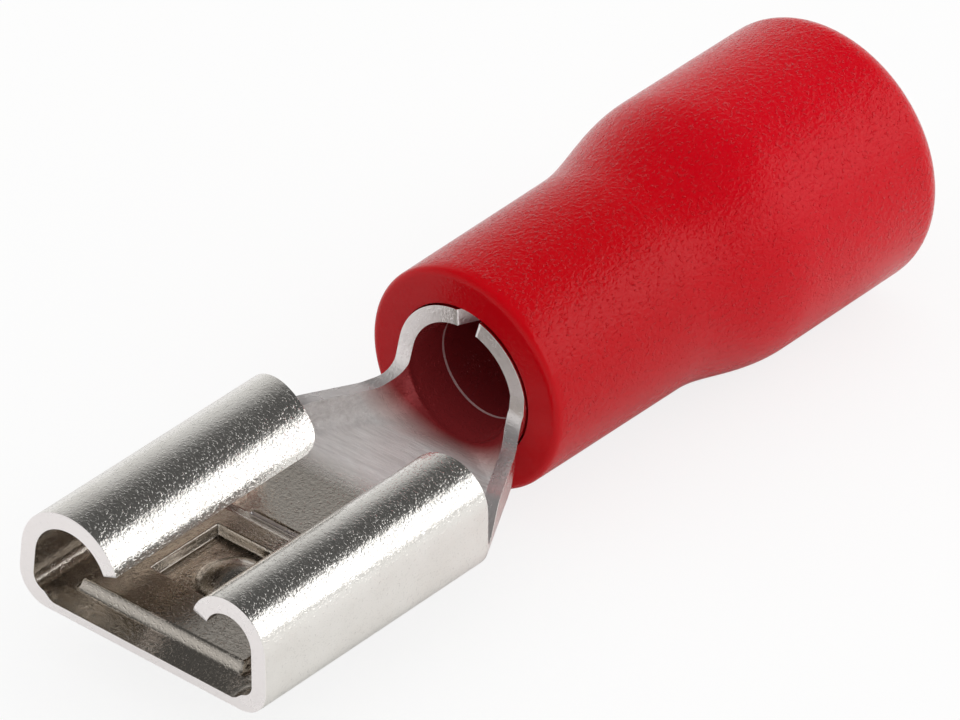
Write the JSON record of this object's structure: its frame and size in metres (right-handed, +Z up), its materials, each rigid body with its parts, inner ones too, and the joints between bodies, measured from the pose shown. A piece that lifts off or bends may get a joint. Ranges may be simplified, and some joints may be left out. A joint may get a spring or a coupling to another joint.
{
  "type": "insulated female push-on terminal",
  "caption": "Female push-on wire terminal: a flat receptacle with rolled edges, a crimp barrel and a flared soft red insulating sleeve.",
  "frame": {"origin": "middle of the blade where it enters the receptacle's mouth", "axes": "+Y from the mouth towards the wire end, +Z up from the base to the curls, +X across the receptacle"},
  "size_m": [0.0066, 0.0215, 0.0061],
  "materials": {
    "tinned_brass": "bright tin plate with fine grain",
    "red_pvc": "soft satin moulding with a fine ripple"
  },
  "bodies": {
    "root": {"terminal": "tinned_brass", "sleeve": "red_pvc"}
  },
  "joints": []
}
